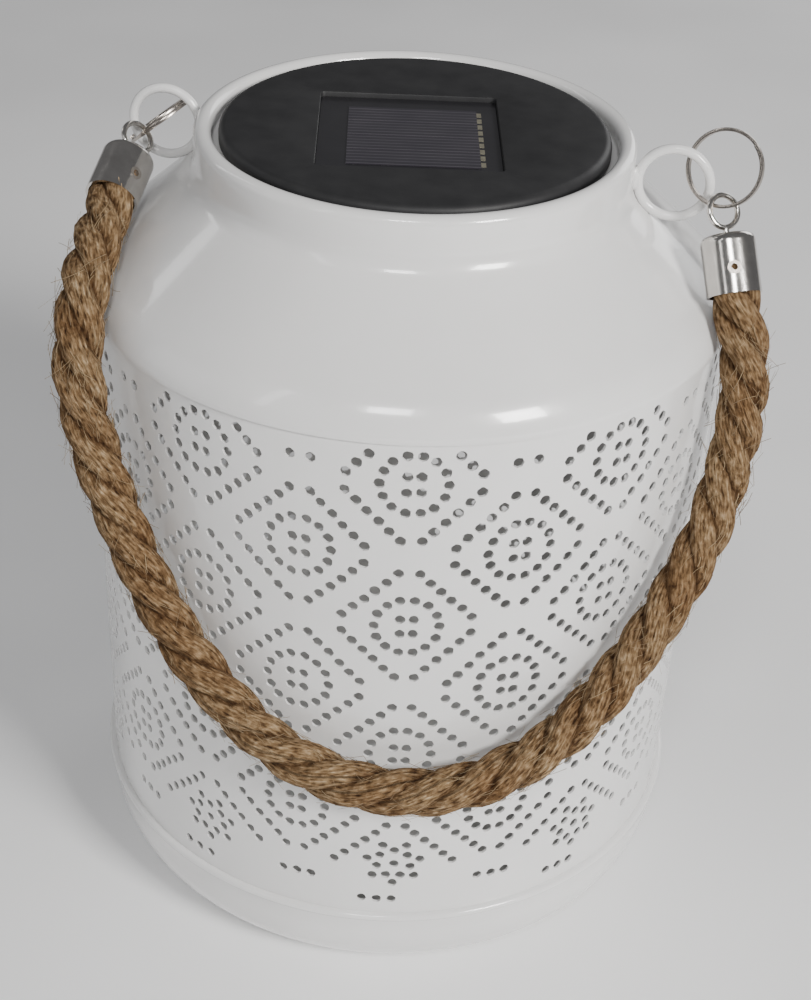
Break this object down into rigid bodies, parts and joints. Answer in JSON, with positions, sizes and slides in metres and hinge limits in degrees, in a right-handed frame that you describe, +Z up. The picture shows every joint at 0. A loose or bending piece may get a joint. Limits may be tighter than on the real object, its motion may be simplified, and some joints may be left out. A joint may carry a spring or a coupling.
{
  "type": "solar lantern",
  "caption": "Jar-shaped punched metal lantern with a drop-in solar lid and a rope handle hung from wire rings.",
  "frame": {"origin": "centre of the flat base", "axes": "+Z up the lantern's axis, the wire rings on the X axis, the handle hanging down the front at -Y"},
  "size_m": [0.1642, 0.1656, 0.207],
  "materials": {
    "white_enamel": "gloss",
    "nickel": "polished",
    "jute": "coarse twisted fibre",
    "black_plastic": "matt moulded",
    "panel_board": "satin",
    "silicon": "satin cell under epoxy",
    "tinned_copper": "dull",
    "steel": "plated",
    "battery_sleeve": "gloss",
    "circuit_board": "solder mask",
    "clear_led": "clear",
    "frosted_lens": "frosted",
    "wire_sleeve": "matt",
    "switch_plastic": "matt"
  },
  "bodies": {
    "root": {"shoulder_shell": "white_enamel", "perforated_sleeve": "white_enamel", "base_pan": "white_enamel", "right_hanger_ring": "white_enamel", "left_hanger_ring": "white_enamel"},
    "lid": {"lid_disc": "black_plastic", "solar_panel": "panel_board", "solar_cells": "silicon", "bus_bar": "tinned_copper", "lid_housing": "black_plastic", "battery": "battery_sleeve", "contact_plate": "steel", "contact_spring": "steel", "circuit_board": "circuit_board", "led": "clear_led", "led_lens": "frosted_lens", "panel_wires": "wire_sleeve", "switch_body": "switch_plastic", "housing_screws": "steel"},
    "switch": {"switch_knob": "switch_plastic"},
    "door": {"battery_door": "black_plastic", "door_screw": "steel"},
    "links": {"right_split_ring": "nickel", "left_split_ring": "nickel"},
    "handle": {"rope_handle": "jute", "right_cap_eye": "nickel", "left_cap_eye": "nickel", "right_rope_cap": "nickel", "left_rope_cap": "nickel", "right_set_screw": "nickel", "left_set_screw": "nickel"}
  },
  "joints": [
    {"name": "lid_lift", "type": "slide", "parent": "root", "child": "lid", "axis": [0, 0, 1], "range_m": [0, 0.06]},
    {"name": "switch_slide", "type": "slide", "parent": "lid", "child": "switch", "axis": [1, 0, 0], "range_m": [0, 0.003]},
    {"name": "door_drop", "type": "slide", "parent": "lid", "child": "door", "axis": [0, 0, -1], "range_m": [0, 0.012]},
    {"name": "links_swing", "type": "hinge", "parent": "root", "child": "links", "pos_m": [0, -0.0008, 0.1923], "axis": [-1, 0, 0], "range_deg": [0, 30]},
    {"name": "handle_swing", "type": "hinge", "parent": "links", "child": "handle", "pos_m": [0, -0.004, 0.1908], "axis": [-1, 0, 0], "range_deg": [0, 45]}
  ]
}
